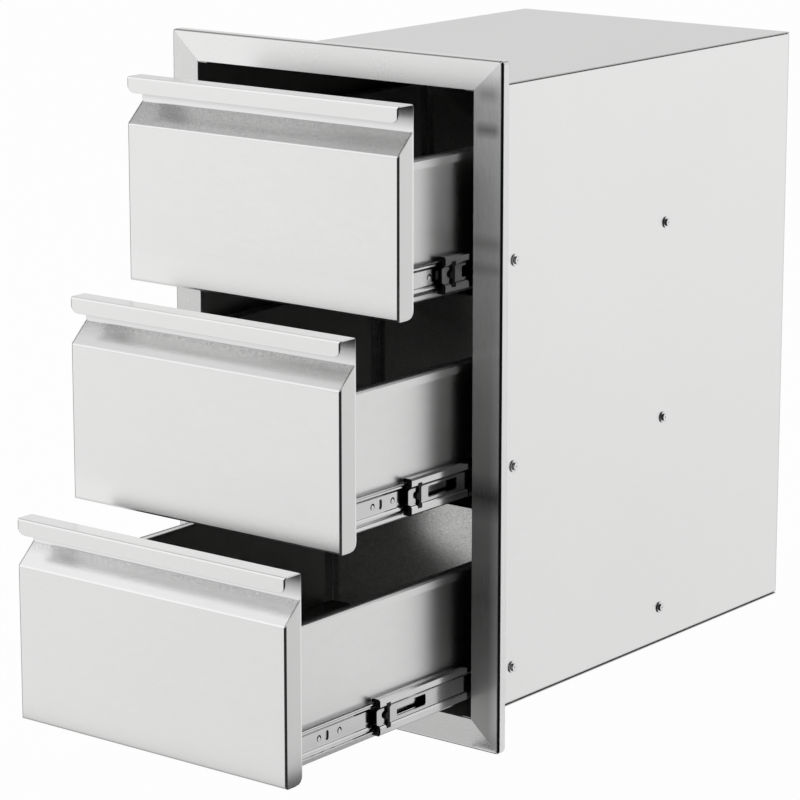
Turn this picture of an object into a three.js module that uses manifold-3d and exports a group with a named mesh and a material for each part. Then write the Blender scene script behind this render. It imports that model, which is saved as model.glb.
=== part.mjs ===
// A built-in outdoor kitchen drawer unit: a flanged stainless steel cabinet with three drawers,
// each on a pair of three-member ball-bearing slides, shown partly open as a staircase.
// Millimetres. X runs to the right, Y into the wall, Z up. The origin is on the wall face that the
// frame's bearing lip closes against, in the middle of the bottom rail's lip.

import * as THREE from 'three';
import { mergeVertices } from 'three/addons/utils/BufferGeometryUtils.js';
import Module from 'manifold-3d';

const wasm = await Module();
wasm.setup();

// Sheet metal that the whole unit shares
const sheet = 1;
const foldRadius = 1.2;
const hemRadius = 0.7;
const seam = 0.3;
const overrun = 6;
const foldSteps = 2;
const fineFoldSteps = 1;
const mergeReach = 1e-4;

// Face frame
const frameWidth = 402;
const frameHeight = 664;
const frameDepth = 12;
const frameCorner = 4;
const frameCornerSteps = 3;
const stileFace = 32.5;
const railFace = 29.5;
const bearingLip = 14;
const mitreGap = 0.2;

// Cabinet shell behind the frame
const shellDepth = 534;
const shellFrontFlange = 18;
const shellSideFlange = 12;
const shellBackFlange = 12;

// Drawer fronts
const frontSideGap = 4.3;
const frontEndGap = 3.4;
const frontGap = 2.8;
const frontDepth = 22.3;
const frontEdgeRadius = 1.8;
const gripLip = 15.5;
const gripLipCorner = 9;
const gripDrop = 26.3;
const inclineRise = 20.1;
const returnCorner = 8;
const cornerSteps = 4;
const innerFrontFlange = 12;
const innerFrontDrop = 2;
const inclineSlit = 0.6;

// Drawer boxes
const boxTopDrop = 53;
const boxBottomRise = 11.5;
const hemWidth = 3.5;
const hemDrop = 9;
const hemInward = 6.5;
const weldTab = 14;
const boxBackFlange = 12;

// Slides, from the cabinet wall to the drawer box
const slideSpace = 12.7;
const slideHeight = 45.7;
const slideLength = 450;
const memberShortfall = 20;
const boxShortfall = 15.4;
const slideSetback = 28;
const slideRise = 33;
const railSheet = 1.2;
const middleSheet = 1.1;
const cageSheet = 0.4;
const outerBall = 3.9;
const innerBall = 3.2;
const ballPlay = 0.05;
const outerFlangeReach = 7.1;
const raceLipRun = 1.6;
const raceLipDrop = 1.6;
const closedGap = 0.5;
const webStep = 2;
const bandFoot = 9.3;
const bandSlope = 1.3;
const middleFlangeReach = 7.9;
const innerUpturnRun = 0.9;
const innerUpturnRise = 0.85;
const innerFlangeReach = 4;
const innerBandStep = 1.8;
const innerBandFoot = 9.4;
const innerBandSlope = 1.3;
const webTongue = 2.8;
const tongueCorner = 1.5;
const outerBallReach = 5.5;
const innerBallReach = 3.1;

// Windows, holes and slots in the slides and in the cabinet sides
const windowStart = 27;
const windowLength = 44;
const windowHeight = 11;
const windowCorner = 2;
const screwHole = 4.4;
const boxScrewHole = 6.4;
const holeSides = 8;
const outerHoleStart = 37;
const outerHoleSpacing = 256;
const innerFirstHole = 32;
const innerSecondHole = 61.5;
const innerSlotStart = 43.5;
const innerSlotWidth = 4.8;
const innerSlotHeight = 9.6;
const innerSlotCorner = 2.2;

// Ball cages: three balls in each row
const cageLength = 110;
const outerCageStartShare = 0.355;
const innerCageStartShare = 0.378;
const cageFlangeOuter = 5.6;
const cageFlangeInner = 4.5;
const ballShares = [0.07, 0.5, 0.93];

// Plastic front guides of the middle rails
const guideNose = 1.2;
const guideNoseSheet = 2.6;
const guideSheet = 0.5;
const guideLength = 17;
const guideBlockLength = 9;
const guideBarStart = 9.5;
const guideBarWidth = 5.8;
const guideBarInset = 1.4;
const guideBarHeight = 23.8;
const guideEarHeight = 4;
const guideWaist = 4.6;
const guideBump = 3.7;
const guideBumpSteps = 8;
const guidePlay = 0.3;
const guideFaceInset = 1.2;

// How far each drawer stands open, and the share of that which its middle rails and cages follow
const lowerOpened = 269.6;
const centreOpened = 191;
const upperOpened = 107;
const middleShare = 0.6;
const outerCageShare = middleShare / 2;
const innerCageShare = (1 + middleShare) / 2;

// Places that follow from the sizes above
const wallPlane = 0;
const faceY = wallPlane - frameDepth;
const frameBottom = -bearingLip / 2;
const frameTop = frameBottom + frameHeight;
const openingHalf = frameWidth / 2 - stileFace;
const openingBottom = frameBottom + railFace;
const openingTop = frameTop - railFace;
const shellFront = faceY + sheet + seam;
const shellHalf = openingHalf + sheet;
const shellBottom = openingBottom - sheet;
const shellTop = openingTop + sheet;
const frontHalf = openingHalf - frontSideGap;
const levels = ['lower', 'centre', 'upper'];
const opened = { lower: lowerOpened, centre: centreOpened, upper: upperOpened };
const sides = { left: -1, right: 1 };
const frontsHigh = openingTop - openingBottom - 2 * frontEndGap - (levels.length - 1) * frontGap;
const frontHeight = frontsHigh / levels.length;
const drawerPitch = frontHeight + frontGap;
const boxHalf = openingHalf - slideSpace;
const boxDepth = slideLength - boxShortfall;
const memberLength = slideLength - memberShortfall;
const outerCageStart = slideLength * outerCageStartShare;
const innerCageStart = slideLength * innerCageStartShare;

// Finishes
const brushedSteel = { color: 0xd4d4d2, roughness: 0.34, metalness: 1 };
const shellSteel = { color: 0xc9c9c7, roughness: 0.42, metalness: 1 };
const boxSteel = { color: 0xbfbfbd, roughness: 0.45, metalness: 1 };
const zincSteel = { color: 0xc6c8ca, roughness: 0.3, metalness: 1 };
const cageSteel = { color: 0xa8a8a6, roughness: 0.35, metalness: 1 };
const blackPlastic = { color: 0x18181a, roughness: 0.55, metalness: 0 };

// Points round an arc, from one angle to another
function arcPoints(centreX, centreY, radius, fromAngle, toAngle, steps) {
  const points = [];
  for (let step = 0; step <= steps; step += 1) {
    const angle = fromAngle + ((toAngle - fromAngle) * step) / steps;
    points.push(new THREE.Vector2(centreX + radius * Math.cos(angle), centreY + radius * Math.sin(angle)));
  }
  return points;
}

// The section of a folded strip of sheet. The corners run along one face of the strip, the sheet
// lies to the left of them, and each fold has the same inside radius.
function foldedOutline(corners, thickness, insideRadius, steps = foldSteps) {
  const path = corners.map(([x, y]) => new THREE.Vector2(x, y));
  const leftOf = (from, to) => {
    const run = to.clone().sub(from).normalize();
    return new THREE.Vector2(-run.y, run.x);
  };
  const near = [path[0]];
  const far = [path[0].clone().addScaledVector(leftOf(path[0], path[1]), thickness)];
  for (let index = 1; index < path.length - 1; index += 1) {
    const before = leftOf(path[index - 1], path[index]);
    const after = leftOf(path[index], path[index + 1]);
    const turn = Math.atan2(before.cross(after), before.dot(after));
    const side = Math.sign(turn);
    const nearRadius = side > 0 ? insideRadius + thickness : insideRadius;
    const farRadius = side > 0 ? insideRadius : insideRadius + thickness;
    const back = nearRadius * Math.tan(Math.abs(turn) / 2);
    const start = path[index].clone().addScaledVector(new THREE.Vector2(before.y, -before.x), -back);
    const centre = start.clone().addScaledVector(before, side * nearRadius);
    for (let step = 0; step <= steps; step += 1) {
      const swing = (turn * step) / steps;
      const spoke = before.clone().multiplyScalar(-side).rotateAround(new THREE.Vector2(), swing);
      near.push(centre.clone().addScaledVector(spoke, nearRadius));
      far.push(centre.clone().addScaledVector(spoke, farRadius));
    }
  }
  const last = path.length - 1;
  near.push(path[last]);
  far.push(path[last].clone().addScaledVector(leftOf(path[last - 1], path[last]), thickness));
  return near.concat(far.reverse());
}

// A rectangle with any of its corners rounded: radii run from low-low round to low-high
function roundedRectangle(lowX, lowY, highX, highY, radii, steps = foldSteps) {
  const corners = [
    [lowX, lowY, 1, 1, Math.PI],
    [highX, lowY, -1, 1, -Math.PI / 2],
    [highX, highY, -1, -1, 0],
    [lowX, highY, 1, -1, Math.PI / 2],
  ];
  return corners.flatMap(([x, y, inX, inY, angle], index) => {
    const radius = radii[index];
    if (radius === 0) {
      return [new THREE.Vector2(x, y)];
    }
    return arcPoints(x + inX * radius, y + inY * radius, radius, angle, angle + Math.PI / 2, steps);
  });
}

// Extrude an outline along X (outline in Y and Z), along Y (in X and Z) or along Z (in X and Y)
function extrudeAlong(axis, outline, from, to) {
  const shape = new THREE.Shape(outline);
  const geometry = new THREE.ExtrudeGeometry(shape, { depth: to - from, bevelEnabled: false });
  const right = new THREE.Vector3(1, 0, 0);
  const inward = new THREE.Vector3(0, 1, 0);
  const up = new THREE.Vector3(0, 0, 1);
  const turn = new THREE.Matrix4();
  if (axis === 'x') {
    turn.makeBasis(inward, up, right).setPosition(from, 0, 0);
  } else if (axis === 'y') {
    turn.makeBasis(right, up, inward.negate()).setPosition(0, to, 0);
  } else {
    turn.setPosition(0, 0, from);
  }
  return geometry.applyMatrix4(turn);
}

// A plain plate or cutter between two corners
function plate(lowX, lowY, lowZ, highX, highY, highZ) {
  const geometry = new THREE.BoxGeometry(highX - lowX, highY - lowY, highZ - lowZ);
  return geometry.translate((lowX + highX) / 2, (lowY + highY) / 2, (lowZ + highZ) / 2);
}

// A round cutter along X at a place in Y and Z
function drill(y, z, diameter, fromX, toX) {
  const outline = arcPoints(y, z, diameter / 2, 0, 2 * Math.PI, holeSides).slice(1);
  return extrudeAlong('x', outline, fromX, toX);
}

// Closed triangles with shared corners, ready to be joined and cut
function solidOf(geometry) {
  const bare = new THREE.BufferGeometry();
  bare.setAttribute('position', geometry.getAttribute('position'));
  if (geometry.index) {
    bare.setIndex(geometry.index);
  }
  const merged = mergeVertices(bare, mergeReach);
  const index = merged.getIndex().array;
  const kept = [];
  for (let corner = 0; corner < index.length; corner += 3) {
    const [a, b, c] = index.slice(corner, corner + 3);
    if (a !== b && b !== c && c !== a) {
      kept.push(a, b, c);
    }
  }
  const mesh = new wasm.Mesh({
    numProp: 3,
    vertProperties: new Float32Array(merged.getAttribute('position').array),
    triVerts: new Uint32Array(kept),
  });
  return new wasm.Manifold(mesh);
}

function geometryOf(solid) {
  const mesh = solid.getMesh();
  const geometry = new THREE.BufferGeometry();
  geometry.setAttribute('position', new THREE.BufferAttribute(new Float32Array(mesh.vertProperties), 3));
  geometry.setIndex(new THREE.BufferAttribute(new Uint32Array(mesh.triVerts), 1));
  return geometry;
}

function joined(geometries) {
  return geometryOf(geometries.map(solidOf).reduce((whole, piece) => whole.add(piece)));
}

function cut(geometry, cutters) {
  const solids = cutters.map(solidOf);
  return geometryOf(solids.reduce((whole, cutter) => whole.subtract(cutter), solidOf(geometry)));
}

function overlapOf(first, second) {
  return geometryOf(solidOf(first).intersect(solidOf(second)));
}

function namedMesh(name, geometry, finish) {
  const faceted = geometry.index ? geometry.toNonIndexed() : geometry;
  faceted.computeVertexNormals();
  const mesh = new THREE.Mesh(faceted, new THREE.MeshStandardMaterial(finish));
  mesh.name = name;
  return mesh;
}

// Skin between equal rings of points, closed at both ends
function loftRings(rings, endOutline) {
  const count = rings[0].length;
  const positions = rings.flat().flatMap((point) => point.toArray());
  const index = [];
  for (let ring = 0; ring < rings.length - 1; ring += 1) {
    for (let point = 0; point < count; point += 1) {
      const next = (point + 1) % count;
      const here = ring * count;
      const there = here + count;
      index.push(here + point, here + next, there + next);
      index.push(here + point, there + next, there + point);
    }
  }
  const lastRing = (rings.length - 1) * count;
  for (const [a, b, c] of THREE.ShapeUtils.triangulateShape(endOutline, [])) {
    index.push(c, b, a);
    index.push(lastRing + a, lastRing + b, lastRing + c);
  }
  const geometry = new THREE.BufferGeometry();
  geometry.setAttribute('position', new THREE.BufferAttribute(new Float32Array(positions), 3));
  geometry.setIndex(index);
  return geometry;
}

// One side of the face frame: face, outer return and bearing lip, running round half of each
// rounded corner and mitred from the outer corner to the corner of the opening. It is made lying
// along X with its outer edge at Y = 0 and its face at Z = 0, looking towards -Z.
function frameSide(length, face, neighbourFace) {
  const section = foldedOutline(
    [[bearingLip, frameDepth], [0, frameDepth], [0, 0], [face, 0]],
    sheet,
    foldRadius,
  );
  const mitreSlope = (neighbourFace - frameCorner) / (face - frameCorner);
  const ringAt = (end, step) => section.map(({ x: inset, y: depth }) => {
    const angle = (Math.PI / 4) * (step / frameCornerSteps);
    const beyondArc = inset > frameCorner;
    const along = beyondArc
      ? frameCorner + (inset - frameCorner) * mitreSlope
      : frameCorner - (frameCorner - inset) * Math.sin(angle);
    const across = beyondArc ? inset : frameCorner - (frameCorner - inset) * Math.cos(angle);
    return new THREE.Vector3(end * (length / 2 - along - mitreGap), across, depth);
  });
  const rings = [];
  for (let step = frameCornerSteps; step >= 0; step -= 1) {
    rings.push(ringAt(-1, step));
  }
  for (let step = 0; step <= frameCornerSteps; step += 1) {
    rings.push(ringAt(1, step));
  }
  return geometryOf(solidOf(loftRings(rings, section)));
}

function makeFrame() {
  const frame = new THREE.Group();
  const middleZ = frameBottom + frameHeight / 2;
  const parts = [
    ['frame_bottom_rail', frameWidth, railFace, stileFace, 0],
    ['frame_right_stile', frameHeight, stileFace, railFace, 1],
    ['frame_top_rail', frameWidth, railFace, stileFace, 2],
    ['frame_left_stile', frameHeight, stileFace, railFace, 3],
  ];
  for (const [name, length, face, neighbourFace, quarter] of parts) {
    const mesh = namedMesh(name, frameSide(length, face, neighbourFace), brushedSteel);
    const outward = quarter % 2 === 0 ? frameHeight / 2 : frameWidth / 2;
    const quarterTurn = new THREE.Matrix4().makeRotationY((-quarter * Math.PI) / 2);
    const lay = new THREE.Matrix4().makeBasis(
      new THREE.Vector3(1, 0, 0),
      new THREE.Vector3(0, 0, 1),
      new THREE.Vector3(0, 1, 0),
    );
    lay.premultiply(new THREE.Matrix4().makeTranslation(0, 0, -outward));
    lay.premultiply(quarterTurn);
    lay.premultiply(new THREE.Matrix4().makeTranslation(0, faceY, middleZ));
    turnInsideOut(mesh.geometry.applyMatrix4(lay));
    frame.add(mesh);
  }
  return frame;
}

// A mirrored geometry has its faces pointing in, so the corners of each are taken the other way
function turnInsideOut(geometry) {
  const position = geometry.getAttribute('position');
  for (let corner = 0; corner < position.count; corner += 3) {
    const second = new THREE.Vector3().fromBufferAttribute(position, corner + 1);
    const third = new THREE.Vector3().fromBufferAttribute(position, corner + 2);
    position.setXYZ(corner + 1, third.x, third.y, third.z);
    position.setXYZ(corner + 2, second.x, second.y, second.z);
  }
  geometry.computeVertexNormals();
}

function slideCentreOf(levelIndex) {
  return openingBottom + frontEndGap + levelIndex * drawerPitch + slideRise;
}

// Cabinet side: a wall with its top and bottom edges folded in, and a flange that turns out behind
// the face frame
function shellSide(hand) {
  const top = shellTop - sheet - seam;
  const bottom = shellBottom + sheet + seam;
  const folded = foldedOutline(
    [
      [shellHalf - shellSideFlange, bottom],
      [shellHalf, bottom],
      [shellHalf, top],
      [shellHalf - shellSideFlange, top],
    ],
    sheet,
    foldRadius,
  );
  const wall = extrudeAlong('y', folded, shellFront, shellDepth);
  const flange = plate(
    shellHalf - sheet / 2, shellFront, bottom + foldRadius + sheet,
    shellHalf + shellFrontFlange, shellFront + sheet, top - foldRadius - sheet,
  );
  const holes = [];
  levels.forEach((level, index) => {
    for (const along of [0, outerHoleSpacing]) {
      const y = faceY + slideSetback + outerHoleStart + along;
      holes.push(drill(y, slideCentreOf(index), screwHole, openingHalf - overrun, shellHalf + overrun));
    }
  });
  const geometry = cut(joined([wall, flange]), holes);
  return handed(geometry, hand);
}

// The same shape for the right (1) or, mirrored, for the left (-1)
function handed(geometry, hand) {
  if (hand > 0) {
    return geometry;
  }
  const mirrored = geometry.index ? geometry.toNonIndexed() : geometry;
  mirrored.scale(-1, 1, 1);
  turnInsideOut(mirrored);
  return mirrored;
}

// Cabinet top or bottom: a flat sheet over the sides' folded edges, its front edge turned out
// behind the face frame
function shellCover(facing) {
  const edge = facing > 0 ? shellTop : shellBottom;
  const sheetLow = Math.min(edge, edge - facing * sheet);
  const flangeEnds = [edge - (facing * sheet) / 2, edge + facing * shellFrontFlange];
  return joined([
    plate(-shellHalf, shellFront, sheetLow, shellHalf, shellDepth, sheetLow + sheet),
    plate(
      -shellHalf, shellFront, Math.min(...flangeEnds),
      shellHalf, shellFront + sheet, Math.max(...flangeEnds),
    ),
  ]);
}

// Cabinet back: a pan whose four edges turn forward inside the sides
function shellBack() {
  const half = shellHalf - sheet - seam;
  const low = shellBottom + 2 * (sheet + seam);
  const high = shellTop - 2 * (sheet + seam);
  const front = shellDepth - shellBackFlange;
  const radius = foldRadius + sheet;
  const outer = roundedRectangle(-half, low, half, high, [radius, radius, radius, radius]);
  const inner = roundedRectangle(
    -half + sheet, low + sheet, half - sheet, high - sheet,
    [foldRadius, foldRadius, foldRadius, foldRadius],
  );
  const block = extrudeAlong('y', outer, front, shellDepth);
  const hollow = extrudeAlong('y', inner, front - overrun, shellDepth - sheet);
  return cut(block, [hollow]);
}

function makeShell() {
  const shell = new THREE.Group();
  shell.add(namedMesh('cabinet_left_side', shellSide(sides.left), shellSteel));
  shell.add(namedMesh('cabinet_right_side', shellSide(sides.right), shellSteel));
  shell.add(namedMesh('cabinet_top', shellCover(1), shellSteel));
  shell.add(namedMesh('cabinet_bottom', shellCover(-1), shellSteel));
  shell.add(namedMesh('cabinet_back', shellBack(), shellSteel));
  return shell;
}

// Drawer front: one sheet folded into the grip's lip, top and riser, the incline behind the grip,
// the face and the bottom return, with side flanges welded along the incline. Y = 0 is the face
// and Z = 0 the bottom edge.
function drawerFront() {
  const creaseTop = frontHeight - gripDrop;
  const creaseFace = creaseTop - inclineRise;
  const section = foldedOutline(
    [
      [frontDepth - returnCorner, sheet],
      [sheet, sheet],
      [sheet, creaseFace],
      [frontDepth, creaseTop],
      [frontDepth, frontHeight],
      [0, frontHeight],
      [0, frontHeight - gripLip],
    ],
    sheet,
    foldRadius,
  );
  const folded = extrudeAlong('x', section, -frontHalf, frontHalf);
  const corner = arcPoints(
    frontDepth - returnCorner, returnCorner, returnCorner, -Math.PI / 2, 0, cornerSteps,
  );
  const flangeOutline = [
    new THREE.Vector2(sheet / 2, sheet / 2),
    new THREE.Vector2(frontDepth - returnCorner, sheet / 2),
    ...corner.slice(1),
    new THREE.Vector2(frontDepth, creaseTop),
    new THREE.Vector2(sheet / 2, creaseFace),
  ];
  const flanges = [
    extrudeAlong('x', flangeOutline, -frontHalf, -frontHalf + sheet),
    extrudeAlong('x', flangeOutline, frontHalf - sheet, frontHalf),
  ];
  const rounded = roundedRectangle(
    -frontHalf, 0, frontHalf, frontDepth, [frontEdgeRadius, frontEdgeRadius, 0, 0],
  );
  const envelope = extrudeAlong('z', rounded, -overrun, frontHeight + overrun);
  const whole = overlapOf(joined([folded, ...flanges]), envelope);
  return cut(whole, [...gripCornerCutters(), ...inclineSlitCutters()]);
}

// What is cut away between the incline's two ends and the side flanges, which end there unjoined
function inclineSlitCutters() {
  const foot = new THREE.Vector2(sheet, frontHeight - gripDrop - inclineRise);
  const head = new THREE.Vector2(frontDepth, frontHeight - gripDrop);
  const along = head.clone().sub(foot).normalize();
  const outward = new THREE.Vector2(-along.y, along.x);
  const inside = outward.clone().multiplyScalar(-overrun);
  const outside = outward.clone().multiplyScalar(sheet + overrun);
  const outline = [
    foot.clone().add(inside), head.clone().add(inside), head.clone().add(outside), foot.clone().add(outside),
  ];
  const right = extrudeAlong('x', outline, frontHalf - sheet - inclineSlit, frontHalf - sheet);
  return [right, handed(right.clone(), sides.left)];
}

// What is cut away to round the two lower corners of the grip's lip
function gripCornerCutters() {
  const low = frontHeight - gripLip;
  const centreX = frontHalf - gripLipCorner;
  const centreZ = low + gripLipCorner;
  const arc = arcPoints(centreX, centreZ, gripLipCorner, -Math.PI / 2, 0, cornerSteps);
  const outline = [
    ...arc,
    new THREE.Vector2(frontHalf + overrun, centreZ),
    new THREE.Vector2(frontHalf + overrun, low - overrun),
    new THREE.Vector2(centreX, low - overrun),
  ];
  const right = extrudeAlong('y', outline, -overrun, frontDepth / 2);
  return [right, handed(right.clone(), sides.left)];
}

// Panel that closes the back of the hollow front and carries the drawer box
function innerFront() {
  const low = sheet + seam;
  const section = foldedOutline(
    [
      [frontDepth - innerFrontFlange, low],
      [frontDepth, low],
      [frontDepth, frontHeight - gripDrop - innerFrontDrop],
    ],
    sheet,
    foldRadius,
  );
  const half = frontHalf - sheet - seam;
  return extrudeAlong('x', section, -half, half);
}

// Drawer tray: bottom and both walls from one sheet. The walls' tops are turned inwards, doubled back
// outwards and hemmed down. Tabs at the front are welded to the inner front.
function drawerTray() {
  const top = frontHeight - boxTopDrop;
  const bottom = boxBottomRise;
  const front = frontDepth + seam;
  const section = foldedOutline(
    [
      [boxHalf + hemWidth, top - hemDrop],
      [boxHalf + hemWidth, top],
      [boxHalf - sheet, top],
      [boxHalf - sheet, bottom + sheet],
      [-boxHalf + sheet, bottom + sheet],
      [-boxHalf + sheet, top],
      [-boxHalf - hemWidth, top],
      [-boxHalf - hemWidth, top - hemDrop],
    ],
    sheet,
    hemRadius,
    fineFoldSteps,
  );
  const folded = extrudeAlong('y', section, front, front + boxDepth);
  const tab = plate(
    boxHalf - sheet - weldTab, front, bottom + 2 * sheet + hemRadius,
    boxHalf - sheet / 2, front + sheet, top - hemDrop,
  );
  const rim = extrudeAlong('y', roundedRectangle(
    boxHalf - sheet - hemInward, top - 2 * sheet, boxHalf - sheet / 2, top,
    [sheet, 0, 0, sheet], fineFoldSteps + 1,
  ), front, front + boxDepth);
  return joined([folded, tab, rim, handed(tab.clone(), sides.left), handed(rim.clone(), sides.left)]);
}

// Drawer back: a wall between the tray's walls, its ends turned forward along them
function drawerBack() {
  const half = boxHalf - sheet - seam;
  const rear = frontDepth + seam + boxDepth;
  const section = foldedOutline(
    [[half, rear - boxBackFlange], [half, rear], [-half, rear], [-half, rear - boxBackFlange]],
    sheet,
    foldRadius,
  );
  const underRim = frontHeight - boxTopDrop - 2 * sheet - seam;
  return extrudeAlong('z', section, boxBottomRise + sheet + hemRadius, underRim);
}

// Slide sections: the first size runs from the cabinet wall to the drawer box, the second up
const outerWebReach = seam;
const outerCageReach = outerWebReach + railSheet + seam;
const bandReach = outerCageReach + cageSheet + seam;
const webReach = bandReach + webStep;
const innerCageReach = webReach + middleSheet + seam;
const innerBackReach = slideSpace - seam;
const outerHalf = slideHeight / 2;
const outerRace = outerHalf - railSheet;
const middleHalf = outerRace - outerBall - 2 * ballPlay;
const middleRace = middleHalf - middleSheet;
const innerHalf = middleRace - innerBall - 2 * ballPlay;
const outerBallHeight = (outerRace + middleHalf) / 2;
const innerBallHeight = (middleRace + innerHalf) / 2;

// Corners given for the upper half, then repeated below
function mirroredCorners(upper) {
  const lower = upper.map(([reach, height]) => [reach, -height]).reverse();
  return upper.concat(lower);
}

function outerRailSection() {
  const flangeEnd = outerWebReach + outerFlangeReach;
  const corners = mirroredCorners([
    [flangeEnd + raceLipRun, outerHalf - raceLipDrop],
    [flangeEnd, outerHalf],
    [outerWebReach, outerHalf],
  ]);
  return foldedOutline(corners, railSheet, hemRadius, fineFoldSteps);
}

function middleRailSection() {
  const flangeEnd = bandReach + middleFlangeReach;
  const corners = mirroredCorners([
    [flangeEnd + raceLipRun, middleHalf - raceLipDrop],
    [flangeEnd, middleHalf],
    [bandReach, middleHalf],
    [bandReach, bandFoot],
    [webReach, bandFoot - bandSlope],
  ]);
  return foldedOutline(corners, middleSheet, hemRadius, fineFoldSteps);
}

function innerRailSection() {
  const flangeEnd = innerBackReach - innerFlangeReach;
  const corners = mirroredCorners([
    [flangeEnd - innerUpturnRun, innerHalf + innerUpturnRise],
    [flangeEnd, innerHalf],
    [innerBackReach - innerBandStep, innerHalf],
    [innerBackReach - innerBandStep, innerBandFoot],
    [innerBackReach, innerBandFoot - innerBandSlope],
  ]);
  return foldedOutline(corners.reverse(), railSheet, hemRadius, fineFoldSteps);
}

// A ball cage: a thin channel that carries a row of balls above and a row below
function ballCage(reach, height, flange, ball, ballReach) {
  const rim = height + cageSheet / 2;
  const corners = mirroredCorners([[reach + flange, rim], [reach, rim]]);
  const section = foldedOutline(corners, cageSheet, hemRadius / 2, fineFoldSteps);
  const strip = extrudeAlong('y', section, 0, cageLength);
  const balls = [];
  for (const row of [height, -height]) {
    for (const share of ballShares) {
      balls.push(new THREE.IcosahedronGeometry(ball / 2).translate(ballReach, share * cageLength, row));
    }
  }
  return joined([strip, ...balls]);
}

// Middle rail: its web stands out in front as a tongue. The web has a window, and two slots that the
// front guide's ears pass through.
function middleRail() {
  const tongueHalf = bandFoot - bandSlope - hemRadius;
  const tongue = extrudeAlong('x', roundedRectangle(
    -webTongue, -tongueHalf, guideBarStart / 2, tongueHalf, [tongueCorner, 0, 0, tongueCorner],
  ), webReach, webReach + middleSheet);
  const rail = joined([extrudeAlong('y', middleRailSection(), 0, memberLength), tongue]);
  const window = extrudeAlong(
    'x',
    roundedRectangle(
      windowStart, -windowHeight / 2, windowStart + windowLength, windowHeight / 2,
      [windowCorner, windowCorner, windowCorner, windowCorner],
    ),
    bandReach - overrun,
    webReach + overrun,
  );
  const cutters = [window];
  const slotInner = guideBarHeight / 2 - guideEarHeight - guidePlay;
  const slotOuter = guideBarHeight / 2 + guidePlay;
  for (const [low, high] of [[slotInner, slotOuter], [-slotOuter, -slotInner]]) {
    cutters.push(plate(
      bandReach - overrun, guideBarStart - guidePlay, low,
      webReach + middleSheet + seam, guideBarStart + guideBarWidth + guidePlay, high,
    ));
  }
  return cut(rail, cutters);
}

// Black front guide: a nose before the middle rail's flanges, slippers between these and the inner
// rail, and a waisted bar in the hollow of the web whose ears pass through the slots
function frontGuide() {
  const webLow = innerCageReach;
  const webHigh = webLow + guideSheet;
  const slipperLow = innerHalf + innerUpturnRise + guidePlay;
  const slipperHigh = middleRace - guidePlay;
  const slipperFace = bandReach + middleFlangeReach - guideFaceInset;
  const noseBack = bandReach + middleSheet;
  const noseFace = bandReach + middleFlangeReach + raceLipRun - guidePlay;
  const pieces = [plate(webLow, -guideNose, -slipperHigh, webHigh, guideLength, slipperHigh)];
  for (const facing of [1, -1]) {
    const slipper = [facing * slipperLow, facing * slipperHigh];
    const nose = [facing * slipperLow, facing * middleHalf];
    const cheek = [facing * (bandFoot + seam), facing * middleHalf];
    const ear = [facing * (guideBarHeight / 2 - guideEarHeight), (facing * guideBarHeight) / 2];
    pieces.push(plate(
      webLow, -guideNose, Math.min(...slipper), slipperFace, guideBlockLength, Math.max(...slipper),
    ));
    pieces.push(plate(noseBack, -guideNose, Math.min(...nose), noseFace, -guidePlay, Math.max(...nose)));
    pieces.push(plate(
      noseBack, -guideNose, Math.min(...cheek), noseBack + guideNoseSheet, -guidePlay, Math.max(...cheek),
    ));
    pieces.push(plate(
      bandReach - seam, guideBarStart, Math.min(...ear),
      webHigh, guideBarStart + guideBarWidth, Math.max(...ear),
    ));
  }
  const waistY = guideBarStart + guideBarWidth - guideWaist;
  const bumpZ = guideBarHeight / 2 - guideEarHeight;
  const bar = [
    new THREE.Vector2(guideBarStart + guideBarWidth - guideBarInset, -bumpZ - seam),
    new THREE.Vector2(guideBarStart + guideBarWidth - guideBarInset, bumpZ + seam),
    new THREE.Vector2(waistY, bumpZ + seam),
    ...arcPoints(waistY, 0, guideBump, Math.PI / 2, (3 * Math.PI) / 2, guideBumpSteps),
    new THREE.Vector2(waistY, -bumpZ - seam),
  ];
  pieces.push(extrudeAlong('x', bar, bandReach - seam, webReach - guidePlay));
  return joined(pieces);
}

function outerRail() {
  const rail = extrudeAlong('y', outerRailSection(), 0, slideLength);
  const holes = [0, outerHoleSpacing].map((along) => drill(
    outerHoleStart + along, 0, screwHole, outerWebReach - overrun, outerWebReach + overrun,
  ));
  return cut(rail, holes);
}

function innerRail() {
  const rail = extrudeAlong('y', innerRailSection(), 0, memberLength);
  const holes = [innerFirstHole, innerSecondHole].map((along) => drill(
    along, 0, boxScrewHole, innerBackReach - overrun / 2, innerBackReach + overrun,
  ));
  const slot = roundedRectangle(
    innerSlotStart - innerSlotWidth / 2, -innerSlotHeight / 2,
    innerSlotStart + innerSlotWidth / 2, innerSlotHeight / 2,
    [innerSlotCorner, innerSlotCorner, innerSlotCorner, innerSlotCorner],
  );
  const slotCutter = extrudeAlong('x', slot, innerBackReach - overrun / 2, innerBackReach + overrun);
  return cut(rail, [...holes, slotCutter]);
}

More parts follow.
